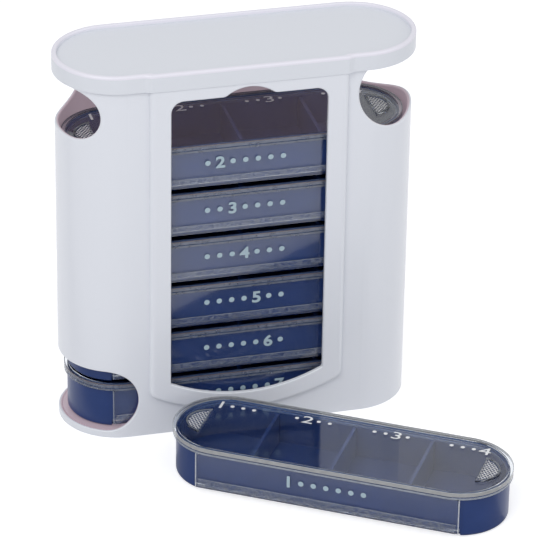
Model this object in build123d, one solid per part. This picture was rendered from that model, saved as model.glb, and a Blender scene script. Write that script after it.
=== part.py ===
from build123d import *
from math import hypot, sqrt
import os

# Weekly pill tower in millimetres, +Z up. The origin is the centre of the tower's base.
# The front faces -Y. Six boxes are stacked in the casing and the seventh lies in front.

DAYS_FROM_BOTTOM = ["sunday", "saturday", "friday", "thursday", "wednesday", "tuesday"]
LYING_DAY = "monday"

# Pill box, seen standing on z = 0 with its length along X.
LID_HALF_LENGTH = 62.4
LID_HALF_DEPTH = 19.4
BOX_HEIGHT = 18.3
TRAY_WALL = 1.4
TRAY_FLOOR = 1.5
TRAY_FOOT_HEIGHT = 2.0
TRAY_FOOT_INSET = 2.6
TRAY_FOOT_RADIUS = 1.2
DIVIDER_THICKNESS = 1.2
DIVIDER_SPACING = 29.0
DIVIDERS_A_SIDE = 1
DIVIDER_DROP = 0.35

# Clear lid: a plate with a deep edge, a flap on each long side and a grip at each end.
LID_PLATE = 1.1
LID_RIM_HEIGHT = 0.5
LID_RIM_WIDTH = 1.5
LID_EDGE_DEPTH = 1.0
LID_EDGE_WIDTH = 3.0
LID_GROOVE_DROP = 1.45
LID_GROOVE_HEIGHT = 0.3
LID_GROOVE_DEPTH = 0.2
LID_TO_TRAY_GAP = 0.2
LID_END_OVERHANG = 1.2
FLAP_HALF_WIDTH = 48.5
FLAP_THICKNESS = 0.9
FLAP_SETBACK = 0.3
FLAP_RAIL_HEIGHT = 3.6
FLAP_RAIL_PROUD = 0.2
FLAP_RAIL_INSET = 1.0
HOOK_REACH = 0.8
HOOK_THICKNESS = 0.8
GRIP_CENTER = 47.8
GRIP_FLAT_SIDE = 51.0
GRIP_LENGTH = 10.3
GRIP_HALF_WIDTH = 8.7
GRIP_BEAD = 0.9
GRIP_HEIGHT = 0.4

# Casing
CASING_WALL = 1.4
CASING_FLOOR = 2.6
SIDE_GAP = 0.6
END_GAP = 1.2
STACK_SHIFT = 0.5
REST_GAP = 0.2
STACK_GAP = 0.45
TOP_HEADROOM = 5.35
BASE_PLATE_GAP = 0.1

# Raised front panel and window, in X and Z
PANEL_SIDE_MARGIN = 29.0
PANEL_PROUD = 1.7
PANEL_LOW_MIDDLE = 7.4
PANEL_LOW_CORNER = 16.4
PANEL_CORNER_RADIUS = 4.0
PANEL_EDGE_RADIUS = 1.5
WINDOW_SIDE_MARGIN = 7.6
WINDOW_MARGIN_LOW = 6.9
WINDOW_RISE = 6.8
WINDOW_TOP_DROP = 4.8
WINDOW_CORNER_RADIUS = 4.5
WINDOW_LOW_RADIUS = 1.0
THUMB_NOTCH_RADIUS = 13.9
THUMB_NOTCH_RISE = 3.3
THUMB_NOTCH_BLEND = 3.0

# Rounding of the moulded edges round the window and the end openings
OPENING_EDGE_RADIUS = 0.5

# Openings cut through the rounded ends: entry at top right, exit at bottom left, finger cut
ENTRY_SPARE = 11.9
ENTRY_SEAM_MARGIN = 0.2
EXIT_RISE = 6.3
EXIT_PAST_SEAM = 3.6
FINGER_CUT_RADIUS = 9.8
FINGER_CUT_INSET = 2.4
FINGER_CUT_DROP = 10.6

# Shallow tray that closes the top
CAP_HEIGHT = 6.6
CAP_OVERHANG = 1.1
CAP_END_OVERHANG = 0.9
CAP_PANEL_OVERHANG = 0.4
CAP_STEP_SIDE = 0.6
CAP_STEP_RUN = 2.0
CAP_STEP_RADIUS = 1.5
CAP_RIM_WIDTH = 1.8
CAP_RECESS = 1.5
CAP_PLATE = 1.6
CAP_EDGE_RADIUS = 0.8
CAP_INNER_RADIUS = 0.5
CAP_RIB_WIDTH = 1.2
CAP_RIB_HEIGHT = 1.2
CAP_RIB_HALF_LENGTH = 40.0
CAP_RIB_GAP = 0.2

# Place of the box that lies in front of the tower
LYING_BOX_X = 22.2
LYING_BOX_Y = -72.7
LYING_BOX_ANGLE = -32.2

CUT_PAST = 5.0

# Sizes worked out from the values above
plate_top = BOX_HEIGHT - LID_RIM_HEIGHT
plate_bottom = plate_top - LID_PLATE
edge_bottom = plate_bottom - LID_EDGE_DEPTH
tray_top = edge_bottom - LID_TO_TRAY_GAP
tray_floor_top = TRAY_FOOT_HEIGHT + TRAY_FLOOR
divider_top = tray_top - DIVIDER_DROP
flap_outside = LID_HALF_DEPTH - FLAP_SETBACK
flap_inside = flap_outside - FLAP_THICKNESS
tray_half_depth = flap_inside - LID_TO_TRAY_GAP
tray_half_length = LID_HALF_LENGTH - LID_END_OVERHANG
hook_inside = tray_half_depth - HOOK_REACH

inner_half_length = LID_HALF_LENGTH + END_GAP
inner_half_depth = LID_HALF_DEPTH + SIDE_GAP
casing_half_length = inner_half_length + CASING_WALL
casing_half_depth = inner_half_depth + CASING_WALL
stack_pitch = BOX_HEIGHT + STACK_GAP
stack_bottom = CASING_FLOOR + REST_GAP
stack_top = stack_bottom + len(DAYS_FROM_BOTTOM) * stack_pitch - STACK_GAP
casing_height = stack_bottom + (len(DAYS_FROM_BOTTOM) + 1) * stack_pitch + TOP_HEADROOM
panel_front = casing_half_depth + PANEL_PROUD
panel_half_width = casing_half_length - PANEL_SIDE_MARGIN
window_half_width = panel_half_width - WINDOW_SIDE_MARGIN

entry_radius = (BOX_HEIGHT + ENTRY_SPARE) / 2
entry_z = stack_top + entry_radius
entry_top_x = casing_half_length - casing_half_depth - ENTRY_SEAM_MARGIN
entry_x = entry_top_x + sqrt(entry_radius ** 2 - (casing_height - entry_z) ** 2)
exit_radius = (REST_GAP + BOX_HEIGHT + EXIT_RISE) / 2
exit_x = casing_half_depth - casing_half_length + EXIT_PAST_SEAM - exit_radius
exit_z = CASING_FLOOR + exit_radius
finger_cut_x = FINGER_CUT_INSET - casing_half_length
finger_cut_z = casing_height - FINGER_CUT_DROP


def slab(half_length, half_depth, bottom, top):
    """Solid with straight sides and half-round ends, standing between two heights."""
    outline = SlotOverall(2 * half_length, 2 * half_depth)
    return extrude(Pos(0, 0, bottom) * outline, top - bottom)


def bar(x_from, x_to, y_from, y_to, z_from, z_to):
    """Rectangular bar given by its two ends along each axis."""
    middle = Pos((x_from + x_to) / 2, (y_from + y_to) / 2, (z_from + z_to) / 2)
    return middle * Box(abs(x_to - x_from), abs(y_to - y_from), abs(z_to - z_from))


def arched_outline(half_width, low_middle, low_corner, top):
    """Upright panel outline in X and Z whose lower edge is a hanging arc."""
    left_low = (-half_width, low_corner)
    right_low = (half_width, low_corner)
    edges = [
        Line(left_low, (-half_width, top)),
        Line((-half_width, top), (half_width, top)),
        Line((half_width, top), right_low),
        ThreePointArc(right_low, (0, low_middle), left_low),
    ]
    return make_face(edges)


def through_front(outline, y_from, y_to):
    """Carries an outline drawn in X and Z from one depth to another, towards the front."""
    return extrude(Plane.XZ.offset(-y_from) * outline, y_from - y_to)


def window_outline():
    """Front window: arched low edge, round top corners and a thumb notch in the top edge."""
    low_middle = PANEL_LOW_MIDDLE + WINDOW_MARGIN_LOW
    top = casing_height - WINDOW_TOP_DROP
    face = arched_outline(window_half_width, low_middle, low_middle + WINDOW_RISE, top)
    notch_center = top + THUMB_NOTCH_RISE - THUMB_NOTCH_RADIUS
    face += Pos(0, notch_center) * Circle(THUMB_NOTCH_RADIUS)
    upper = face.vertices().filter_by(lambda v: v.Y > top - 1)
    outer = upper.filter_by(lambda v: abs(v.X) > window_half_width - 1)
    face = fillet(outer, WINDOW_CORNER_RADIUS)
    inner = face.vertices().filter_by(lambda v: v.Y > top - 0.1 and abs(v.X) < THUMB_NOTCH_RADIUS)
    face = fillet(inner, THUMB_NOTCH_BLEND)
    low = face.vertices().filter_by(lambda v: v.Y < low_middle + WINDOW_RISE + 1)
    return fillet(low, WINDOW_LOW_RADIUS)


def raised_panel():
    """Panel that stands proud of the casing's front, with a soft edge all round."""
    outline = arched_outline(panel_half_width, PANEL_LOW_MIDDLE, PANEL_LOW_CORNER, casing_height)
    low = outline.vertices().filter_by(lambda v: v.Y < PANEL_LOW_CORNER + 1)
    outline = fillet(low, PANEL_CORNER_RADIUS)
    panel = through_front(outline, -inner_half_depth, -panel_front)
    front_face = panel.faces().sort_by(Axis.Y)[0]
    soft_edges = front_face.edges().filter_by(lambda e: e.center().Z < casing_height - 1)
    return fillet(soft_edges, PANEL_EDGE_RADIUS)


def panel_hollow():
    """Relief behind the raised panel that keeps the front wall at one thickness."""
    half_width = panel_half_width - PANEL_EDGE_RADIUS - CASING_WALL
    low = PANEL_LOW_MIDDLE + CASING_WALL
    rise = PANEL_LOW_CORNER - PANEL_LOW_MIDDLE
    outline = arched_outline(half_width, low, low + rise, casing_height + CUT_PAST)
    return through_front(outline, 0, CASING_WALL - panel_front)


def casing_shell():
    """Whole casing wall with the panel, the window and the openings in its ends."""
    shell = slab(casing_half_length, casing_half_depth, 0, casing_height)
    shell += raised_panel()
    shell -= slab(inner_half_length, inner_half_depth, -CUT_PAST, casing_height + CUT_PAST)
    shell -= panel_hollow()
    shell -= through_front(window_outline(), 0, -panel_front - CUT_PAST)
    reach = casing_half_depth + PANEL_PROUD + CUT_PAST
    round_openings = [
        (entry_x, entry_z, entry_radius),
        (exit_x, exit_z, exit_radius),
        (finger_cut_x, finger_cut_z, FINGER_CUT_RADIUS),
    ]
    for x, z, radius in round_openings:
        shell -= through_front(Pos(x, z) * Circle(radius), reach, -reach)
    entry_run = casing_half_length + CUT_PAST - entry_x
    entry_rise = casing_height + CUT_PAST - entry_z
    entry_slot = Pos(entry_x + entry_run / 2, entry_z + entry_rise / 2) * Rectangle(entry_run, entry_rise)
    shell -= through_front(entry_slot, reach, -reach)
    exit_run = casing_half_length + CUT_PAST + exit_x
    exit_slot = Pos(exit_x - exit_run / 2, exit_z) * Rectangle(exit_run, 2 * exit_radius)
    shell -= through_front(exit_slot, reach, -reach)
    return fillet(opening_edges(shell), OPENING_EDGE_RADIUS)


def opening_edges(shell):
    """Edges of the window and of the end openings, where the moulding is softly rounded."""
    front_face = shell.faces().sort_by(Axis.Y)[0]
    edges = ShapeList(front_face.inner_wires()[0].edges())
    along_wall = shell.edges().filter_by(lambda edge: edge.length > 2 * CASING_WALL)
    for edge in along_wall:
        point = edge @ 0.5
        from_entry = hypot(point.X - entry_x, point.Z - entry_z)
        from_exit = hypot(max(0, point.X - exit_x), point.Z - exit_z)
        from_finger_cut = hypot(point.X - finger_cut_x, point.Z - finger_cut_z)
        at_entry = abs(from_entry - entry_radius) < 0.05
        at_exit = abs(from_exit - exit_radius) < 0.05 and point.X < 0
        at_finger_cut = abs(from_finger_cut - FINGER_CUT_RADIUS) < 0.05
        if at_entry or at_exit or at_finger_cut:
            edges.append(edge)
    return edges


def casing_half(shell, side):
    """Front half (side -1) or back half (side 1) of the casing, parted at y = 0."""
    reach = 2 * casing_half_length
    keep = bar(-reach, reach, 0, side * reach, -CUT_PAST, casing_height + CUT_PAST)
    return shell & keep


def base_plate():
    """Flat floor set inside the foot of the casing."""
    half_length = inner_half_length - BASE_PLATE_GAP
    return slab(half_length, inner_half_depth - BASE_PLATE_GAP, 0, CASING_FLOOR)


def cap_outline(inset):
    """Outline of the top tray, with a step that follows the raised panel, drawn in by inset."""
    half_length = casing_half_length + CAP_END_OVERHANG - inset
    half_depth = casing_half_depth + CAP_OVERHANG - inset
    step_half_width = panel_half_width + CAP_STEP_SIDE - inset
    step_front = panel_front + CAP_PANEL_OVERHANG - inset
    outline = SlotOverall(2 * half_length, 2 * half_depth)
    foot = step_half_width + CAP_STEP_RUN / 2
    crest = step_half_width - CAP_STEP_RUN / 2
    step = Polyline((-foot, -half_depth), (-crest, -step_front), (crest, -step_front), (foot, -half_depth),
                    (foot, 0), (-foot, 0), close=True)
    outline += make_face(step)
    corners = outline.vertices().filter_by(lambda v: v.Y < -1 and abs(v.X) < foot + 0.01)
    return fillet(corners, CAP_STEP_RADIUS)


def top_tray():
    """Shallow tray, hollow below, that sits on the casing and is located by two ribs inside it."""
    top = casing_height + CAP_HEIGHT
    cap = extrude(Pos(0, 0, casing_height) * cap_outline(0), CAP_HEIGHT)
    cap -= extrude(Pos(0, 0, top - CAP_RECESS) * cap_outline(CAP_RIM_WIDTH), CAP_RECESS)
    top_face_edges = cap.faces().sort_by(Axis.Z)[-1].outer_wire().edges()
    cap = fillet(top_face_edges, CAP_EDGE_RADIUS)
    inner_edges = cap.faces().filter_by(lambda f: abs(f.center().Z - top) < 0.01)[0].inner_wires()
    cap = fillet(inner_edges[0].edges(), CAP_INNER_RADIUS)
    rib_outside = inner_half_depth - CAP_RIB_GAP
    seat = CAP_RIB_GAP + CAP_RIB_WIDTH
    plate_underside = top - CAP_RECESS - CAP_PLATE
    cap -= slab(inner_half_length - seat, inner_half_depth - seat, casing_height, plate_underside)
    for side in (-1, 1):
        cap += bar(-CAP_RIB_HALF_LENGTH, CAP_RIB_HALF_LENGTH, side * (rib_outside - CAP_RIB_WIDTH),
                   side * rib_outside, casing_height - CAP_RIB_HEIGHT, casing_height)
    return cap


def box_tray():
    """Blue tray of one day: four compartments, rebates for the lid's hooks and a foot below."""
    body = slab(tray_half_length, tray_half_depth, 0, tray_top)
    tray = fillet(body.faces().sort_by(Axis.Z)[0].edges(), TRAY_FOOT_RADIUS)
    inside_length = tray_half_length - TRAY_WALL
    inside_depth = tray_half_depth - TRAY_WALL
    hollow = slab(inside_length, inside_depth, tray_floor_top, tray_top + CUT_PAST)
    for number in range(-DIVIDERS_A_SIDE, DIVIDERS_A_SIDE + 1):
        x = number * DIVIDER_SPACING
        hollow -= bar(x - DIVIDER_THICKNESS / 2, x + DIVIDER_THICKNESS / 2,
                      -inside_depth, inside_depth, tray_floor_top, divider_top)
    tray -= hollow
    foot_side = tray_half_depth - TRAY_FOOT_INSET
    tray -= slab(inside_length, foot_side - TRAY_WALL, -CUT_PAST, TRAY_FOOT_HEIGHT)
    rebate_inside = hook_inside - LID_TO_TRAY_GAP
    rebate_top = TRAY_FOOT_HEIGHT + HOOK_THICKNESS + LID_TO_TRAY_GAP
    foot_from = FLAP_HALF_WIDTH + LID_TO_TRAY_GAP
    for side in (-1, 1):
        tray -= bar(-LID_HALF_LENGTH, LID_HALF_LENGTH, side * rebate_inside,
                    side * LID_HALF_DEPTH, -CUT_PAST, rebate_top)
        tray -= bar(-foot_from, foot_from, side * foot_side, side * LID_HALF_DEPTH,
                    -CUT_PAST, TRAY_FOOT_HEIGHT)
    return tray


def grip_bead():
    """Raised bead of the finger grip at the +X end of the lid: an oval cut off straight."""
    outer = Ellipse(GRIP_LENGTH, GRIP_HALF_WIDTH)
    inner = Ellipse(GRIP_LENGTH - GRIP_BEAD, GRIP_HALF_WIDTH - GRIP_BEAD)
    flat_side = GRIP_FLAT_SIDE - GRIP_CENTER
    beyond = Pos(flat_side + GRIP_LENGTH, 0) * Rectangle(2 * GRIP_LENGTH, 4 * GRIP_HALF_WIDTH)
    bead = (outer & beyond) - (inner & (Pos(GRIP_BEAD, 0) * beyond))
    return extrude(Pos(GRIP_CENTER, 0, plate_top) * bead, GRIP_HEIGHT)


def lid_edge_ring(width, bottom, top):
    """Ring of a given width that follows the lid's outline inwards."""
    ring = slab(LID_HALF_LENGTH, LID_HALF_DEPTH, bottom, top)
    return ring - slab(LID_HALF_LENGTH - width, LID_HALF_DEPTH - width, bottom, top)


def box_lid():
    """Clear sliding lid whose two flaps hook under the tray's long sides."""
    lid = slab(LID_HALF_LENGTH, LID_HALF_DEPTH, plate_bottom, plate_top)
    lid += lid_edge_ring(LID_RIM_WIDTH, plate_top, BOX_HEIGHT)
    lid += lid_edge_ring(LID_EDGE_WIDTH, edge_bottom, plate_bottom)
    groove_top = BOX_HEIGHT - LID_GROOVE_DROP
    lid -= lid_edge_ring(LID_GROOVE_DEPTH, groove_top - LID_GROOVE_HEIGHT, groove_top)
    grip = grip_bead()
    lid += [grip, grip.rotate(Axis.Z, 180)]
    width = FLAP_HALF_WIDTH
    rail_width = FLAP_HALF_WIDTH - FLAP_RAIL_INSET
    foot = TRAY_FOOT_HEIGHT
    for side in (-1, 1):
        lid += bar(-width, width, side * flap_inside, side * flap_outside, foot, edge_bottom)
        lid += bar(-width, width, side * hook_inside, side * flap_outside,
                   foot, foot + HOOK_THICKNESS)
        lid += bar(-rail_width, rail_width, side * flap_inside,
                   side * (flap_outside + FLAP_RAIL_PROUD), foot, foot + FLAP_RAIL_HEIGHT)
    return lid


def box_places():
    """Place of each day's box: the stack in the casing and the box that lies in front."""
    places = {}
    for number, day in enumerate(DAYS_FROM_BOTTOM):
        places[day] = Pos(-STACK_SHIFT, 0, stack_bottom + number * stack_pitch)
    places[LYING_DAY] = Pos(LYING_BOX_X, LYING_BOX_Y, 0) * Rot(0, 0, LYING_BOX_ANGLE)
    return places


def save(solid, node):
    """Writes one piece to its own STEP file."""
    solid.label = node
    export_step(solid, os.path.join("parts", node + ".step"))


os.makedirs("parts", exist_ok=True)
shell = casing_shell()
save(casing_half(shell, -1), "front_shell")
save(casing_half(shell, 1), "back_shell")
save(base_plate(), "base_plate")
save(top_tray(), "top_tray")
tray = box_tray()
lid = box_lid()
for day, place in box_places().items():
    save(place * tray, day + "_tray")
    save(place * lid, day + "_lid")
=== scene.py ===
import math

import bmesh
import bpy
from mathutils import Matrix, Vector


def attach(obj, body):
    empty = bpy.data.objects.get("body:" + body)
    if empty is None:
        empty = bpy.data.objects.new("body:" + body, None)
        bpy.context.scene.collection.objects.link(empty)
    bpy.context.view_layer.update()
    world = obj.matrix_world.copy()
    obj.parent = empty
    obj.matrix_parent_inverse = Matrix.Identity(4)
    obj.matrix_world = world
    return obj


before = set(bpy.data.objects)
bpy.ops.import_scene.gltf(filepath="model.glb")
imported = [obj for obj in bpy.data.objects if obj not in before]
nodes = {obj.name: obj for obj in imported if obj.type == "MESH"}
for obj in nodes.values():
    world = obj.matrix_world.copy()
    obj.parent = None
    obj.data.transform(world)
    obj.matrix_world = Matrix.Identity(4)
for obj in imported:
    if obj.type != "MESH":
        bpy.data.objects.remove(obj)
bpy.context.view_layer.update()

# ---------------------------------------------------------------------------
# Camera. It stands to the left of the tower and looks down on it from a long
# way off with a long lens, tipped very slightly to one side.
# ---------------------------------------------------------------------------
camera_azimuth = math.radians(-14.91)
camera_elevation = math.radians(28.67)
camera_roll = math.radians(0.93)
camera_distance = 1.3675
camera_lens = 248.7
camera_target = Vector((0.01412, 0.0, 0.05092))

back = Vector((math.sin(camera_azimuth) * math.cos(camera_elevation),
               -math.cos(camera_azimuth) * math.cos(camera_elevation),
               math.sin(camera_elevation)))
level_right = Vector((math.cos(camera_azimuth), math.sin(camera_azimuth), 0))
level_up = back.cross(level_right)
right = level_right * math.cos(camera_roll) + level_up * math.sin(camera_roll)
up = level_up * math.cos(camera_roll) - level_right * math.sin(camera_roll)
camera = bpy.data.objects.new("camera", bpy.data.cameras.new("camera"))
camera.data.lens = camera_lens
camera.data.sensor_width = 36
camera.data.clip_start = 0.1
camera.data.clip_end = 20
camera.matrix_world = Matrix.Translation(camera_target + back * camera_distance) @ Matrix(
    (right, up, back)).transposed().to_4x4()
bpy.context.scene.collection.objects.link(camera)
bpy.context.scene.camera = camera

# ---------------------------------------------------------------------------
# Studio. A white sweep lit by a white room, a large soft lamp over the left
# shoulder and a weaker one from the right. Close in front of the lying box the
# sweep doesn't glow in mirror images: painted shade that stands for the box's
# shadow on the floor, so that the box's flap stays dark.
# ---------------------------------------------------------------------------
bpy.context.scene.view_settings.view_transform = "Standard"


def new_material(name):
    """Material with an empty node tree and its output node."""
    material = bpy.data.materials.new(name)
    material.use_nodes = True
    material.node_tree.nodes.clear()
    output = material.node_tree.nodes.new("ShaderNodeOutputMaterial")
    return material, material.node_tree, output


def math_node(tree, operation, first, second=None, third=None, clamp=False):
    """Math node on up to three values, each a number or another node's output."""
    node = tree.nodes.new("ShaderNodeMath")
    node.operation = operation
    node.use_clamp = clamp
    for index, value in enumerate((first, second, third)):
        if isinstance(value, (int, float)):
            node.inputs[index].default_value = value
        elif value is not None:
            tree.links.new(value, node.inputs[index])
    return node.outputs[0]


def mask_group(name, inputs, outputs):
    """Empty group for a shared effect: values that go in, with their usual sizes, and masks that come out."""
    group = bpy.data.node_groups.new(name, "ShaderNodeTree")
    for title, usual in inputs:
        socket = group.interface.new_socket(title, in_out="INPUT", socket_type="NodeSocketFloat")
        socket.default_value = usual
    for title in outputs:
        group.interface.new_socket(title, in_out="OUTPUT", socket_type="NodeSocketFloat")
    return group, group.nodes.new("NodeGroupInput"), group.nodes.new("NodeGroupOutput")


def two_tone(tree, surface, first, second, share):
    """Colours a surface from one colour to another by a mask."""
    tint = tree.nodes.new("ShaderNodeMix")
    tint.data_type = "RGBA"
    tint.inputs["A"].default_value = first
    tint.inputs["B"].default_value = second
    tree.links.new(share, tint.inputs["Factor"])
    tree.links.new(tint.outputs["Result"], surface.inputs["Base Color"])


lying_place = Vector((0.0222, -0.0727, 0.0))
lying_angle = math.radians(-32.2)
floor_size = 6.0
floor_shade = (0.72, 0.72, 0.73, 1)
floor_glow_seen = 0.54
floor_mesh = bpy.data.meshes.new("floor")
half = floor_size / 2
corners = [(-half, -half, 0), (half, -half, 0), (half, half, 0), (-half, half, 0)]
floor_mesh.from_pydata(corners, [], [(0, 1, 2, 3)])
floor = bpy.data.objects.new("floor", floor_mesh)
bpy.context.scene.collection.objects.link(floor)
floor_material, tree, output = new_material("white_sweep")
surface = tree.nodes.new("ShaderNodeBsdfPrincipled")
surface.inputs["Base Color"].default_value = floor_shade
surface.inputs["Roughness"].default_value = 0.9
surface.inputs["Specular IOR Level"].default_value = 0.1
surface.inputs["Emission Color"].default_value = (1, 1, 1, 1)


def seen_rays(tree):
    """1 for rays that show a surface to the eye: straight, mirrored or through clear plastic."""
    rays = tree.nodes.new("ShaderNodeLightPath")
    direct = math_node(tree, "MAXIMUM", rays.outputs["Is Camera Ray"], rays.outputs["Is Glossy Ray"])
    return math_node(tree, "MAXIMUM", direct, rays.outputs["Is Transmission Ray"])


def near_floor_group():
    """Mask of painted shade: 1 on the strip of floor close in front of the lying box, fading out away from
    it.
    """
    group, source, sink = mask_group("floor_shade_near_the_box", (("Start", 0.028), ("End", 0.060)), ("Near",))
    place = group.nodes.new("ShaderNodeTexCoord")
    offset = group.nodes.new("ShaderNodeVectorMath")
    offset.operation = "SUBTRACT"
    offset.inputs[1].default_value = lying_place
    ahead = group.nodes.new("ShaderNodeVectorMath")
    ahead.operation = "DOT_PRODUCT"
    ahead.inputs[1].default_value = (math.sin(lying_angle), -math.cos(lying_angle), 0)
    fade = group.nodes.new("ShaderNodeMapRange")
    fade.interpolation_type = "SMOOTHSTEP"
    fade.inputs["To Min"].default_value = 1.0
    fade.inputs["To Max"].default_value = 0.0
    group.links.new(place.outputs["Object"], offset.inputs[0])
    group.links.new(offset.outputs["Vector"], ahead.inputs[0])
    group.links.new(ahead.outputs["Value"], fade.inputs["Value"])
    group.links.new(source.outputs["Start"], fade.inputs["From Min"])
    group.links.new(source.outputs["End"], fade.inputs["From Max"])
    in_front = math_node(group, "GREATER_THAN", ahead.outputs["Value"], 0.0)
    group.links.new(math_node(group, "MULTIPLY", fade.outputs["Result"], in_front), sink.inputs["Near"])
    return group


# Painted shade: near the lying box the floor loses its glow in mirror images.
near = tree.nodes.new("ShaderNodeGroup")
near.node_tree = near_floor_group()
mirrored = tree.nodes.new("ShaderNodeLightPath")
mirrored_shade = math_node(tree, "MULTIPLY", near.outputs["Near"], mirrored.outputs["Is Glossy Ray"])
lit = math_node(tree, "SUBTRACT", seen_rays(tree), mirrored_shade)
tree.links.new(math_node(tree, "MULTIPLY", lit, floor_glow_seen), surface.inputs["Emission Strength"])
tree.links.new(surface.outputs[0], output.inputs["Surface"])
floor_mesh.materials.append(floor_material)

room_light = 0.65
world = bpy.data.worlds.new("white_room")
bpy.context.scene.world = world
world.use_nodes = True
world.node_tree.nodes.clear()
room = world.node_tree.nodes.new("ShaderNodeBackground")
seen_room = world.node_tree.nodes.new("ShaderNodeBackground")
seen_room.inputs["Strength"].default_value = 1.0
room.inputs["Color"].default_value = (0.96, 0.97, 1.0, 1)
room.inputs["Strength"].default_value = room_light
mix = world.node_tree.nodes.new("ShaderNodeMixShader")
world_output = world.node_tree.nodes.new("ShaderNodeOutputWorld")
world.node_tree.links.new(seen_rays(world.node_tree), mix.inputs[0])
world.node_tree.links.new(room.outputs[0], mix.inputs[1])
world.node_tree.links.new(seen_room.outputs[0], mix.inputs[2])
world.node_tree.links.new(mix.outputs[0], world_output.inputs["Surface"])


def soft_lamp(name, place, aim, size, power):
    """Square soft box that points from its place to a point."""
    lamp = bpy.data.objects.new(name, bpy.data.lights.new(name, "AREA"))
    lamp.data.size = size
    lamp.data.energy = power
    lamp.location = place
    lamp.rotation_euler = (Vector(aim) - Vector(place)).to_track_quat("-Z", "Y").to_euler()
    bpy.context.scene.collection.objects.link(lamp)
    return lamp


tower_middle = (0.0, 0.0, 0.07)
soft_lamp("key_lamp", (-0.75, -0.95, 1.25), tower_middle, 0.9, 9.0)
soft_lamp("fill_lamp", (0.95, -0.8, 0.7), tower_middle, 1.0, 2.6)

# ---------------------------------------------------------------------------
# Casing: two glossy white styrene mouldings snapped together at the ends, a
# floor plate and a shallow tray on top. The walls are thin; the inside faces
# get painted light: a mauve colour and a faint glow that stand for the shade
# inside and the light that comes through the walls.
# ---------------------------------------------------------------------------
casing_half_length = 0.0650
casing_half_depth = 0.0214
casing_wall = 0.0014
plastic_ior = 1.5
white_plastic = (0.775, 0.795, 0.845, 1)
mauve_painted_inside = (0.440, 0.350, 0.390, 1)
painted_glow_colour = (1.0, 0.78, 0.90, 1)
painted_wall_glow = 0.16
mask_sharpness = 2500.0


def plastic_skin_group():
    """Shared effect: the faint unevenness of a moulded plastic surface, as height and as gloss."""
    usual = (("Scale", 90.0), ("Roughness", 0.25), ("Spread", 0.08))
    group, source, sink = mask_group("moulded_skin", usual, ("Height", "Gloss"))
    place = group.nodes.new("ShaderNodeTexCoord")
    ripple = group.nodes.new("ShaderNodeTexNoise")
    ripple.inputs["Detail"].default_value = 3.0
    cloud = group.nodes.new("ShaderNodeTexNoise")
    cloud.inputs["Scale"].default_value = 35.0
    group.links.new(place.outputs["Object"], ripple.inputs["Vector"])
    group.links.new(place.outputs["Object"], cloud.inputs["Vector"])
    group.links.new(source.outputs["Scale"], ripple.inputs["Scale"])
    group.links.new(ripple.outputs["Fac"], sink.inputs["Height"])
    around = math_node(group, "SUBTRACT", cloud.outputs["Fac"], 0.5)
    spread = math_node(group, "MULTIPLY", around, source.outputs["Spread"])
    gloss = math_node(group, "ADD", spread, source.outputs["Roughness"], clamp=True)
    group.links.new(gloss, sink.inputs["Gloss"])
    return group


moulded_skin = plastic_skin_group()


def add_skin(tree, surface, scale, roughness, spread, depth):
    """Feeds a surface's roughness and bump from the moulded skin."""
    skin = tree.nodes.new("ShaderNodeGroup")
    skin.node_tree = moulded_skin
    skin.inputs["Scale"].default_value = scale
    skin.inputs["Roughness"].default_value = roughness
    skin.inputs["Spread"].default_value = spread
    bump = tree.nodes.new("ShaderNodeBump")
    bump.inputs["Strength"].default_value = 0.25
    bump.inputs["Distance"].default_value = depth
    tree.links.new(skin.outputs["Height"], bump.inputs["Height"])
    tree.links.new(bump.outputs["Normal"], surface.inputs["Normal"])
    tree.links.new(skin.outputs["Gloss"], surface.inputs["Roughness"])


def casing_inside_group():
    """Mask that is 1 on faces inside the casing: within the oval of the wall's middle."""
    usual = (("Straight half", casing_half_length - casing_half_depth),
             ("Wall middle", casing_half_depth - casing_wall / 2))
    group, source, sink = mask_group("inside_the_casing", usual, ("Inside",))
    place = group.nodes.new("ShaderNodeTexCoord")
    parts = group.nodes.new("ShaderNodeSeparateXYZ")
    group.links.new(place.outputs["Object"], parts.inputs[0])
    across = math_node(group, "ABSOLUTE", parts.outputs["X"])
    past_straight = math_node(group, "SUBTRACT", across, source.outputs["Straight half"])
    along = math_node(group, "MAXIMUM", past_straight, 0.0)
    squares = math_node(group, "ADD", math_node(group, "MULTIPLY", along, along),
                        math_node(group, "MULTIPLY", parts.outputs["Y"], parts.outputs["Y"]))
    gap = math_node(group, "SUBTRACT", source.outputs["Wall middle"], math_node(group, "SQRT", squares))
    sharp = math_node(group, "MULTIPLY", gap, mask_sharpness)
    group.links.new(math_node(group, "ADD", sharp, 0.5, clamp=True), sink.inputs["Inside"])
    return group


casing_material, tree, output = new_material("white_styrene")
surface = tree.nodes.new("ShaderNodeBsdfPrincipled")
surface.inputs["IOR"].default_value = plastic_ior
surface.inputs["Coat Weight"].default_value = 0.25
surface.inputs["Coat Roughness"].default_value = 0.12
# Painted light: the inside faces are coloured mauve and glow faintly, for the shade inside and the light
# coming through the thin walls.
surface.inputs["Emission Color"].default_value = painted_glow_colour
inside = tree.nodes.new("ShaderNodeGroup")
inside.node_tree = casing_inside_group()
painted_through_light = math_node(tree, "MULTIPLY", inside.outputs["Inside"], painted_wall_glow)
tree.links.new(painted_through_light, surface.inputs["Emission Strength"])
two_tone(tree, surface, white_plastic, mauve_painted_inside, inside.outputs["Inside"])
add_skin(tree, surface, scale=120.0, roughness=0.34, spread=0.06, depth=0.00004)
tree.links.new(surface.outputs[0], output.inputs["Surface"])

# Painted light: the tray's rim is painted lighter and its recess floor darker, for the shade that falls in
# the recess.
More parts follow.
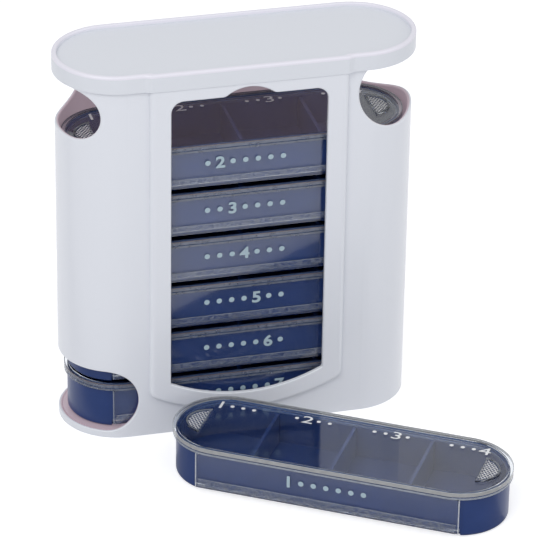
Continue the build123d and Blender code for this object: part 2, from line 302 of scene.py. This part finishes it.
recess_height = 0.1449
top_rim_painted_light = (0.820, 0.805, 0.875, 1)
top_recess_painted_shade = (0.735, 0.758, 0.805, 1)
top_material, tree, output = new_material("white_styrene_tray")
surface = tree.nodes.new("ShaderNodeBsdfPrincipled")
surface.inputs["IOR"].default_value = plastic_ior
surface.inputs["Coat Weight"].default_value = 0.2
surface.inputs["Coat Roughness"].default_value = 0.15
place = tree.nodes.new("ShaderNodeTexCoord")
parts = tree.nodes.new("ShaderNodeSeparateXYZ")
tree.links.new(place.outputs["Object"], parts.inputs[0])
in_shaded_recess = math_node(tree, "LESS_THAN", parts.outputs["Z"], recess_height)
two_tone(tree, surface, top_rim_painted_light, top_recess_painted_shade, in_shaded_recess)
add_skin(tree, surface, scale=140.0, roughness=0.42, spread=0.08, depth=0.00005)
tree.links.new(surface.outputs[0], output.inputs["Surface"])


def dress(node, material):
    """Gives a carried-over solid its finish."""
    mesh = nodes[node].data
    mesh.materials.clear()
    mesh.materials.append(material)


dress("front_shell", casing_material)
dress("back_shell", casing_material)
dress("base_plate", casing_material)
dress("top_tray", top_material)

# ---------------------------------------------------------------------------
# Box trays: navy blue polystyrene, injection moulded, with a satin skin that
# is slightly paler where the boxes rub in the tower.
# ---------------------------------------------------------------------------
week = ["monday", "tuesday", "wednesday", "thursday", "friday", "saturday", "sunday"]
navy = (0.015, 0.040, 0.154, 1)
navy_worn = (0.020, 0.048, 0.182, 1)

tray_material, tree, output = new_material("navy_styrene")
surface = tree.nodes.new("ShaderNodeBsdfPrincipled")
surface.inputs["IOR"].default_value = plastic_ior
surface.inputs["Specular IOR Level"].default_value = 0.35
place = tree.nodes.new("ShaderNodeTexCoord")
stretch = tree.nodes.new("ShaderNodeMapping")
stretch.inputs["Scale"].default_value = (60, 60, 110)
scuffs = tree.nodes.new("ShaderNodeTexNoise")
scuffs.inputs["Scale"].default_value = 1.0
scuffs.inputs["Detail"].default_value = 6.0
rubbed = tree.nodes.new("ShaderNodeMapRange")
rubbed.inputs["From Min"].default_value = 0.52
rubbed.inputs["From Max"].default_value = 0.80
tree.links.new(place.outputs["Object"], stretch.inputs["Vector"])
tree.links.new(stretch.outputs[0], scuffs.inputs["Vector"])
tree.links.new(scuffs.outputs["Fac"], rubbed.inputs["Value"])
two_tone(tree, surface, navy, navy_worn, rubbed.outputs["Result"])
add_skin(tree, surface, scale=160.0, roughness=0.30, spread=0.10, depth=0.00004)
tree.links.new(surface.outputs[0], output.inputs["Surface"])
for day in week:
    dress(day + "_tray", tray_material)

# ---------------------------------------------------------------------------
# Lids: clear polystyrene in one moulding, a plate with a deep edge and a flap
# on each long side. Fine scratches dull it a little.
# ---------------------------------------------------------------------------
stack_floor = 0.0028
stack_pitch = 0.01875
stack_shift = 0.0005
places = {"monday": Matrix.Translation(lying_place) @ Matrix.Rotation(lying_angle, 4, "Z")}
for level, day in enumerate(["sunday", "saturday", "friday", "thursday", "wednesday", "tuesday"]):
    places[day] = Matrix.Translation((-stack_shift, 0, stack_floor + level * stack_pitch))


def lid_body(day):
    """Body that a day's lid moves with: the lids of the stacked boxes stay on their trays."""
    return day + "_cover" if day in ("monday", "sunday") else day + "_box"


clear_shadow = 0.10
clear_material, tree, output = new_material("clear_styrene")
surface = tree.nodes.new("ShaderNodeBsdfPrincipled")
surface.inputs["Base Color"].default_value = (0.90, 0.93, 0.96, 1)
surface.inputs["Transmission Weight"].default_value = 1.0
surface.inputs["IOR"].default_value = plastic_ior
rays = tree.nodes.new("ShaderNodeLightPath")
unseen = math_node(tree, "MAXIMUM", rays.outputs["Is Shadow Ray"], rays.outputs["Is Diffuse Ray"])
solid = math_node(tree, "MULTIPLY_ADD", unseen, clear_shadow - 1, 1.0)
tree.links.new(solid, surface.inputs["Alpha"])
add_skin(tree, surface, scale=200.0, roughness=0.05, spread=0.06, depth=0.00002)
tree.links.new(surface.outputs[0], output.inputs["Surface"])
for day in week:
    dress(day + "_lid", clear_material)

# ---------------------------------------------------------------------------
# Lit edges of the lids, all painted light: clear plastic pipes light to its edges,
# so the rim, the flap's ends and the rail at its foot look frosted, and the thick
# edge picks up the tray's blue. Thin sheets just under the surface paint this light.
# ---------------------------------------------------------------------------
lid_half_length = 0.0624
lid_half_depth = 0.0194
lid_edge_bottom = 0.0157
lid_groove_bottom = 0.01655
lid_groove_top = 0.01685
plate_top = 0.0178
box_height = 0.0183
flap_half_width = 0.0485
flap_inside = 0.0182
flap_outside = 0.0191
flap_foot = 0.0020
flap_rail_top = 0.0056
flap_rail_outside = 0.0193
flap_rail_half_width = 0.0475
sheet_thickness = 0.00003
end_segments = 32


def lid_outline(inset, height):
    """Points round the lid's outline, drawn in by inset, at one height."""
    radius = lid_half_depth - inset
    straight = lid_half_length - lid_half_depth
    points = []
    for side in (1, -1):
        for step in range(end_segments + 1):
            turn = math.pi * (step / end_segments - 0.5)
            x = side * (straight + radius * math.cos(turn))
            points.append(Vector((x, side * radius * math.sin(turn), height)))
    return points


def lid_hoop(outer, inner, low, high):
    """Thin closed hoop that runs round the lid between two insets and two heights."""
    work = bmesh.new()
    rails = []
    for inset, height in ((outer, low), (outer, high), (inner, high), (inner, low)):
        rails.append([work.verts.new(point) for point in lid_outline(inset, height)])
    count = len(rails[0])
    for rail, beyond in zip(rails, rails[1:] + rails[:1]):
        for index in range(count):
            after = (index + 1) % count
            work.faces.new((rail[index], rail[after], beyond[after], beyond[index]))
    bmesh.ops.recalc_face_normals(work, faces=work.faces[:])
    mesh = bpy.data.meshes.new("lid_hoop")
    work.to_mesh(mesh)
    work.free()
    return mesh


def thin_bar(low, high):
    """Small bar between two corners."""
    work = bmesh.new()
    bmesh.ops.create_cube(work, size=1.0)
    for vertex in work.verts:
        for axis in range(3):
            vertex.co[axis] = low[axis] if vertex.co[axis] < 0 else high[axis]
    mesh = bpy.data.meshes.new("thin_bar")
    work.to_mesh(mesh)
    work.free()
    return mesh


def joined(name, pieces, material):
    """One object from several (mesh, matrix) pairs, standing at the origin."""
    work = bmesh.new()
    for mesh, matrix in pieces:
        copy = mesh.copy()
        copy.transform(matrix)
        work.from_mesh(copy)
        bpy.data.meshes.remove(copy)
    result = bpy.data.meshes.new(name)
    work.to_mesh(result)
    work.free()
    result.materials.clear()
    result.materials.append(material)
    piece = bpy.data.objects.new(name, result)
    bpy.context.scene.collection.objects.link(piece)
    return piece


def frost_group():
    """Shared effect: streaky, speckled cover of frosted plastic."""
    usual = (("Least", 0.3), ("Most", 0.7), ("Speckle", 900.0))
    group, source, sink = mask_group("frost_cover", usual, ("Cover",))
    place = group.nodes.new("ShaderNodeTexCoord")
    speckle = group.nodes.new("ShaderNodeTexNoise")
    speckle.inputs["Detail"].default_value = 4.0
    spread = group.nodes.new("ShaderNodeMapRange")
    spread.inputs["From Min"].default_value = 0.35
    spread.inputs["From Max"].default_value = 0.65
    group.links.new(place.outputs["Object"], speckle.inputs["Vector"])
    group.links.new(source.outputs["Speckle"], speckle.inputs["Scale"])
    group.links.new(speckle.outputs["Fac"], spread.inputs["Value"])
    group.links.new(source.outputs["Least"], spread.inputs["To Min"])
    group.links.new(source.outputs["Most"], spread.inputs["To Max"])
    group.links.new(spread.outputs["Result"], sink.inputs["Cover"])
    return group


frost_cover = frost_group()


def frosted(name, colour, least, most, speckle):
    """Painted light for one kind of lit edge: pale and partly see-through. It covers from least to most, in
    speckles.
    """
    material, tree, output = new_material(name)
    surface = tree.nodes.new("ShaderNodeBsdfPrincipled")
    surface.inputs["Base Color"].default_value = colour
    surface.inputs["IOR"].default_value = plastic_ior
    cover = tree.nodes.new("ShaderNodeGroup")
    cover.node_tree = frost_cover
    cover.inputs["Least"].default_value = least
    cover.inputs["Most"].default_value = most
    cover.inputs["Speckle"].default_value = speckle
    tree.links.new(cover.outputs["Cover"], surface.inputs["Alpha"])
    add_skin(tree, surface, scale=400.0, roughness=0.35, spread=0.1, depth=0.00003)
    tree.links.new(surface.outputs[0], output.inputs["Surface"])
    return material


# Painted light: each of these finishes paints the light that the clear plastic pipes to its edges, or the
# shade on it in the stack.
rim_frost = frosted("frosted_rim", (0.42, 0.415, 0.41, 1), 0.78, 0.92, 500.0)
rail_frost = frosted("frosted_rail", (0.40, 0.43, 0.48, 1), 0.02, 0.24, 900.0)
foot_frost = frosted("frosted_foot", (0.36, 0.39, 0.45, 1), 0.55, 0.80, 600.0)
# Painted shade: darker copies of the rim and foot frost for the boxes in the stack, which lie in the casing's
# shade.
shaded_rim = frosted("shaded_frosted_rim_in_the_stack", (0.185, 0.145, 0.150, 1), 0.70, 0.88, 500.0)
shaded_foot = frosted("shaded_frosted_foot_in_the_stack", (0.170, 0.190, 0.250, 1), 0.55, 0.80, 600.0)
edge_light = frosted("lit_edge", (0.72, 0.74, 0.76, 1), 0.60, 0.95, 700.0)
# Painted light: the tray's blue, seen through the lid's thick edge, painted on a sheet inside it.
edge_see_through_blue = frosted("painted_blue_seen_in_the_edge", (0.060, 0.120, 0.290, 1), 0.86, 0.94, 300.0)

embed = 0.00004
sheet_back = embed + sheet_thickness
edge_line = 0.00022
rim_line = 0.00040
flap_end_line = 0.00030
see_through_blue_inset = 0.00165
# Painted shade: the rail's frost starts this far above the flap's foot, so its lowest strip stays dark as in
# shade; in the stack the strip is taller, for the shade under each box.
rail_unfrosted_foot = {"monday": 0.0004, "stacked": 0.0012}
line_inset = sheet_back + embed
rim_hoop = lid_hoop(embed, sheet_back, lid_groove_top + embed, box_height - embed)
foot_hoop = lid_hoop(embed, sheet_back, lid_edge_bottom + embed, lid_groove_bottom - embed)
rim_line_hoop = lid_hoop(embed, sheet_back, box_height - rim_line, box_height - embed)
rim_face_hoop = lid_hoop(embed, sheet_back, lid_groove_top + embed, box_height - rim_line)
see_through_blue_hoop = lid_hoop(see_through_blue_inset, see_through_blue_inset + sheet_thickness, lid_edge_bottom + embed, plate_top - embed)
line_hoop = lid_hoop(line_inset, line_inset + edge_line, box_height - sheet_back, box_height - embed)


def flap_bars(foot):
    """Sheets in the two flaps' rails, and the lit lines along the rails' tops and the flaps' ends."""
    rails, lines, ends = [], [], []
    reach = flap_rail_half_width - embed
    line_low = flap_rail_top - edge_line
    for side in (-1, 1):
        face = side * (flap_rail_outside - embed)
        near, far = sorted((face, face - side * sheet_thickness))
        rails.append(thin_bar((-reach, near, flap_foot + foot), (reach, far, line_low - embed)))
        lines.append(thin_bar((-reach, near, line_low), (reach, far, flap_rail_top - embed)))
        near, far = sorted((side * (flap_inside + embed), side * (flap_outside - embed)))
        for end in (-1, 1):
            low, high = sorted((end * (flap_half_width - flap_end_line), end * (flap_half_width - embed)))
            ends.append(thin_bar((low, near, flap_foot + embed), (high, far, lid_edge_bottom - embed)))
    return rails, lines, ends


for day in week:
    lying = day == "monday"
    rails, lines, ends = flap_bars(rail_unfrosted_foot["monday" if lying else "stacked"])
    if lying:
        finishes = [("rim_frost", [rim_hoop], rim_frost), ("foot_frost", [foot_hoop] + lines, foot_frost),
                    ("edge_light", [line_hoop] + ends, edge_light)]
    else:
        # Painted shade in the stack: the rim and its top line get the shaded copies, and the rail's lit lines
        # and the flap ends get the dimmer foot frost.
        finishes = [("rim_frost", [rim_line_hoop], shaded_rim),
                    ("foot_frost", [foot_hoop, rim_face_hoop, line_hoop], shaded_foot),
                    ("edge_light", lines + ends, foot_frost)]
    finishes += [("rail_frost", rails, rail_frost), ("edge_see_through_blue", [see_through_blue_hoop], edge_see_through_blue)]
    for name, meshes, material in finishes:
        piece = joined(day + "_" + name, [(mesh, places[day]) for mesh in meshes], material)
        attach(piece, lid_body(day))

# ---------------------------------------------------------------------------
# Finger grips: crossed ribs moulded on the lid inside each cut-off oval bead,
# so that a thumb can push the lid along. The bead's crest catches the light.
# ---------------------------------------------------------------------------
grip_center = 0.0478
grip_flat_side = 0.0510
grip_length = 0.0103
grip_half_width = 0.0087
grip_bead = 0.0009
grip_height = 0.0004
grip_rib_pitch = 0.00105
grip_rib_width = 0.00021
grip_rib_height = 0.00004
grip_rib_turn = math.radians(55)
ribs_each_way = 41
rib_reach = 0.04
# Painted highlight: the bead's crest is a pale strip, widest on the side that the light falls on.
crest_width = 0.0008
crest_thinnest = 0.35
crest_lit_turn = 0.6
crest_side_low = 0.0002
crest_side_high = 0.0005


def grip_rib_tree(material):
    """Geometry Nodes: a fan of parallel bars in two directions, kept where they lie inside a half oval."""
    tree = bpy.data.node_groups.new("crossed_grip_ribs", "GeometryNodeTree")
    for name, value in (("Pitch", grip_rib_pitch), ("Width", grip_rib_width), ("Height", grip_rib_height),
                        ("Length", grip_length - grip_bead), ("Half width", grip_half_width - grip_bead)):
        socket = tree.interface.new_socket(name, in_out="INPUT", socket_type="NodeSocketFloat")
        socket.default_value = value
    tree.interface.new_socket("Geometry", in_out="OUTPUT", socket_type="NodeSocketGeometry")
    source = tree.nodes.new("NodeGroupInput")
    sink = tree.nodes.new("NodeGroupOutput")
    join = tree.nodes.new("GeometryNodeJoinGeometry")
    for turn in (grip_rib_turn, -grip_rib_turn):
        line = tree.nodes.new("GeometryNodeMeshLine")
        line.mode = "OFFSET"
        line.inputs["Count"].default_value = ribs_each_way
        step = tree.nodes.new("ShaderNodeCombineXYZ")
        start = tree.nodes.new("ShaderNodeVectorMath")
        start.operation = "SCALE"
        start.inputs["Scale"].default_value = -(ribs_each_way - 1) / 2
        tree.links.new(source.outputs["Pitch"], step.inputs["Y"])
        tree.links.new(step.outputs[0], start.inputs[0])
        tree.links.new(step.outputs[0], line.inputs["Offset"])
        tree.links.new(start.outputs[0], line.inputs["Start Location"])
        bar = tree.nodes.new("GeometryNodeMeshCube")
        size = tree.nodes.new("ShaderNodeCombineXYZ")
        size.inputs["X"].default_value = rib_reach
        tree.links.new(source.outputs["Width"], size.inputs["Y"])
        tree.links.new(source.outputs["Height"], size.inputs["Z"])
        tree.links.new(size.outputs[0], bar.inputs["Size"])
        bar.inputs["Vertices X"].default_value = 2
        place = tree.nodes.new("GeometryNodeInstanceOnPoints")
        tree.links.new(line.outputs["Mesh"], place.inputs["Points"])
        tree.links.new(bar.outputs["Mesh"], place.inputs["Instance"])
        spin = tree.nodes.new("GeometryNodeTransform")
        spin.inputs["Rotation"].default_value = (0, 0, turn)
        tree.links.new(place.outputs["Instances"], spin.inputs["Geometry"])
        tree.links.new(spin.outputs["Geometry"], join.inputs["Geometry"])
    pad = tree.nodes.new("GeometryNodeMeshCylinder")
    pad.inputs["Vertices"].default_value = 72
    pad.inputs["Radius"].default_value = 1.0
    pad.inputs["Depth"].default_value = 0.002
    pad_size = tree.nodes.new("ShaderNodeCombineXYZ")
    pad_size.inputs["Z"].default_value = 1.0
    tree.links.new(source.outputs["Length"], pad_size.inputs["X"])
    tree.links.new(source.outputs["Half width"], pad_size.inputs["Y"])
    pad_shape = tree.nodes.new("GeometryNodeTransform")
    tree.links.new(pad.outputs["Mesh"], pad_shape.inputs["Geometry"])
    tree.links.new(pad_size.outputs[0], pad_shape.inputs["Scale"])
    half_block = tree.nodes.new("GeometryNodeMeshCube")
    half_block.inputs["Size"].default_value = (rib_reach, rib_reach, 0.01)
    half_place = tree.nodes.new("GeometryNodeTransform")
    block_x = grip_flat_side - grip_center + grip_bead / 2 + rib_reach / 2
    half_place.inputs["Translation"].default_value = (block_x, 0, 0)
    tree.links.new(half_block.outputs["Mesh"], half_place.inputs["Geometry"])
    realize_bars = tree.nodes.new("GeometryNodeRealizeInstances")
    tree.links.new(join.outputs["Geometry"], realize_bars.inputs["Geometry"])
    cut = tree.nodes.new("GeometryNodeMeshBoolean")
    cut.operation = "INTERSECT"
    cut.solver = "EXACT"
    cut.inputs["Self Intersection"].default_value = True
    tree.links.new(realize_bars.outputs["Geometry"], cut.inputs["Mesh 2"])
    tree.links.new(pad_shape.outputs["Geometry"], cut.inputs["Mesh 2"])
    tree.links.new(half_place.outputs["Geometry"], cut.inputs["Mesh 2"])
    realize = tree.nodes.new("GeometryNodeRealizeInstances")
    paint = tree.nodes.new("GeometryNodeSetMaterial")
    paint.inputs["Material"].default_value = material
    tree.links.new(cut.outputs["Mesh"], realize.inputs["Geometry"])
    tree.links.new(realize.outputs["Geometry"], paint.inputs["Geometry"])
    tree.links.new(paint.outputs["Geometry"], sink.inputs["Geometry"])
    return tree


grip_material, tree, output = new_material("frosted_grip")
surface = tree.nodes.new("ShaderNodeBsdfPrincipled")
surface.inputs["Base Color"].default_value = (0.86, 0.86, 0.87, 1)
surface.inputs["Alpha"].default_value = 0.9
add_skin(tree, surface, scale=300.0, roughness=0.4, spread=0.1, depth=0.00003)
tree.links.new(surface.outputs[0], output.inputs["Surface"])

grip_source = bpy.data.objects.new("grip_source", bpy.data.meshes.new("grip_source"))
bpy.context.scene.collection.objects.link(grip_source)
ribs = grip_source.modifiers.new("ribs", "NODES")
ribs.node_group = grip_rib_tree(grip_material)
for item in ribs.node_group.interface.items_tree:
    if item.in_out == "INPUT":
        ribs[item.identifier] = item.default_value
graph = bpy.context.evaluated_depsgraph_get()
grip_mesh = bpy.data.meshes.new_from_object(grip_source.evaluated_get(graph), depsgraph=graph)
bpy.data.objects.remove(grip_source)


def bead_crest():
    """Cap on the grip's bead: the oval arc and, narrower, its straight side. Its two faces lie together."""
    flat = grip_flat_side - grip_center
    last = math.acos(flat / grip_length)
    steps = 40
    work = bmesh.new()
    rows = []
    for step in range(steps + 1):
        turn = last * (2 * step / steps - 1)
        share = crest_thinnest + (1 - crest_thinnest) * max(0.0, math.sin(turn + crest_lit_turn))
        row = []
        for inset in (grip_bead / 2 - crest_width * share / 2, grip_bead / 2 + crest_width * share / 2):
            x = (grip_length - inset) * math.cos(turn)
            y = (grip_half_width - inset) * math.sin(turn)
            row.append(work.verts.new((x, y, 0)))
        rows.append(row)
    for low, high in zip(rows, rows[1:]):
        work.faces.new((low[0], high[0], high[1], low[1]))
    half_side = grip_half_width * math.sin(last) - grip_bead / 2
    low, high = flat + crest_side_low, flat + crest_side_high
    corners = [(low, -half_side, 0), (high, -half_side, 0), (high, half_side, 0), (low, half_side, 0)]
    work.faces.new([work.verts.new(corner) for corner in corners])
    bmesh.ops.solidify(work, geom=work.faces[:], thickness=sheet_thickness)
    bmesh.ops.recalc_face_normals(work, faces=work.faces[:])
    mesh = bpy.data.meshes.new("bead_crest")
    work.to_mesh(mesh)
    work.free()
    return mesh


crest_level = plate_top + grip_height + 2 * sheet_thickness
grip_place = Matrix.Translation((grip_center, 0, plate_top + grip_rib_height / 2))
crest_place = Matrix.Translation((grip_center, 0, crest_level))
other_crest_place = Matrix.Translation((-grip_center, 0, crest_level))
other_end = Matrix.Rotation(math.pi, 4, "Z")
crest = bead_crest()
crest_mirrored = crest.copy()
crest_mirrored.transform(Matrix.Scale(-1, 4, (1, 0, 0)))
crest_mirrored.flip_normals()
for day in week:
    grips = joined(day + "_grip_ribs", [(grip_mesh, places[day] @ grip_place),
                                        (grip_mesh, places[day] @ other_end @ grip_place)], grip_material)
    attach(grips, lid_body(day))
    crests = joined(day + "_grip_crests", [(crest, places[day] @ crest_place),
                                           (crest_mirrored, places[day] @ other_crest_place)], edge_light)
    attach(crests, lid_body(day))

# ---------------------------------------------------------------------------
# Printed marks: pad-printed white figures. The flap carries the box's number
# in a row of seven places, and the lid numbers its four compartments in rows
# of four places. A dot holds each place that isn't the number's own.
# ---------------------------------------------------------------------------
mark_thickness = 0.00006
off_surface = 0.00001
drawn_depth = 0.02
flap_figure_height = 0.0046
flap_figure_stretch = 1.15
flap_figure_weight = 0.03
flap_mark_pitch = 0.0046
flap_dot_radius = 0.00100
flap_mark_middle = 0.0110
lid_figure_height = 0.0046
lid_figure_stretch = 1.4
lid_figure_row = 0.0104
lid_dot_radius = 0.00075
lid_mark_pitch = 0.0041
compartment_middles = [-0.0430, -0.0145, 0.0145, 0.0430]


def print_material(name, thin, full):
    """Pad-printed ink that is a little uneven."""
    material, tree, output = new_material(name)
    surface = tree.nodes.new("ShaderNodeBsdfPrincipled")
    surface.inputs["Roughness"].default_value = 0.5
    place = tree.nodes.new("ShaderNodeTexCoord")
    mottle = tree.nodes.new("ShaderNodeTexNoise")
    mottle.inputs["Scale"].default_value = 900.0
    tree.links.new(place.outputs["Object"], mottle.inputs["Vector"])
    two_tone(tree, surface, thin, full, mottle.outputs["Fac"])
    tree.links.new(surface.outputs[0], output.inputs["Surface"])
    return material


flap_print = print_material("pale_print", (0.36, 0.47, 0.53, 1), (0.42, 0.54, 0.60, 1))
lid_print = print_material("white_print", (0.78, 0.79, 0.80, 1), (0.86, 0.87, 0.88, 1))


def figure_mesh(text, height, stretch, weight=0.0):
    """Thin figure of a given height, centred across, on its base line. It is drawn deep and pressed flat."""
    curve = bpy.data.curves.new("figure", "FONT")
    curve.body = text
    curve.align_x = "CENTER"
    curve.extrude = drawn_depth
    curve.offset = weight
    holder = bpy.data.objects.new("figure", curve)
    bpy.context.scene.collection.objects.link(holder)
    graph = bpy.context.evaluated_depsgraph_get()
    mesh = bpy.data.meshes.new_from_object(holder.evaluated_get(graph), depsgraph=graph)
    bpy.data.objects.remove(holder)
    low = min(v.co.y for v in mesh.vertices)
    tall = max(v.co.y for v in mesh.vertices) - low
    scale = height / tall
    middle = (min(v.co.x for v in mesh.vertices) + max(v.co.x for v in mesh.vertices)) / 2
    for vertex in mesh.vertices:
        vertex.co.x = (vertex.co.x - middle) * scale * stretch
        vertex.co.y = (vertex.co.y - low) * scale
        vertex.co.z = mark_thickness if vertex.co.z > 0 else 0.0
    mesh.materials.clear()
    return mesh


def dot_mesh(radius):
    """Thin round dot."""
    work = bmesh.new()
    bmesh.ops.create_cone(work, cap_ends=True, segments=24, radius1=radius, radius2=radius,
                          depth=mark_thickness)
    bmesh.ops.translate(work, verts=work.verts, vec=(0, 0, mark_thickness / 2))
    mesh = bpy.data.meshes.new("dot")
    work.to_mesh(mesh)
    work.free()
    return mesh


upright = Matrix.Rotation(math.pi / 2, 4, "X")
flap_dot = dot_mesh(flap_dot_radius)
lid_dot = dot_mesh(lid_dot_radius)
days = len(week)
compartments = len(compartment_middles)
for number, day in enumerate(week, start=1):
    flap_marks = []
    figure = figure_mesh(str(number), flap_figure_height, flap_figure_stretch, flap_figure_weight)
    for spot in range(1, days + 1):
        x = (spot - (days + 1) / 2) * flap_mark_pitch
        foot = flap_mark_middle - flap_figure_height / 2 if spot == number else flap_mark_middle
        mark = figure if spot == number else flap_dot
        place = Matrix.Translation((x, -flap_outside - off_surface, foot)) @ upright
        flap_marks.append((mark, places[day] @ place))
    lid_marks = []
    for part, middle in enumerate(compartment_middles, start=1):
        figure = figure_mesh(str(part), lid_figure_height, lid_figure_stretch)
        for spot in range(1, compartments + 1):
            x = middle + (spot - (compartments + 1) / 2) * lid_mark_pitch
            row = lid_figure_row if spot == part else lid_figure_row + lid_figure_height / 2
            mark = figure if spot == part else lid_dot
            lid_marks.append((mark, places[day] @ Matrix.Translation((x, row, plate_top + off_surface))))
    rows = (("flap_marks", flap_marks, flap_print), ("lid_marks", lid_marks, lid_print))
    for name, marks, material in rows:
        printed = joined(day + "_" + name, marks, material)
        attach(printed, lid_body(day))
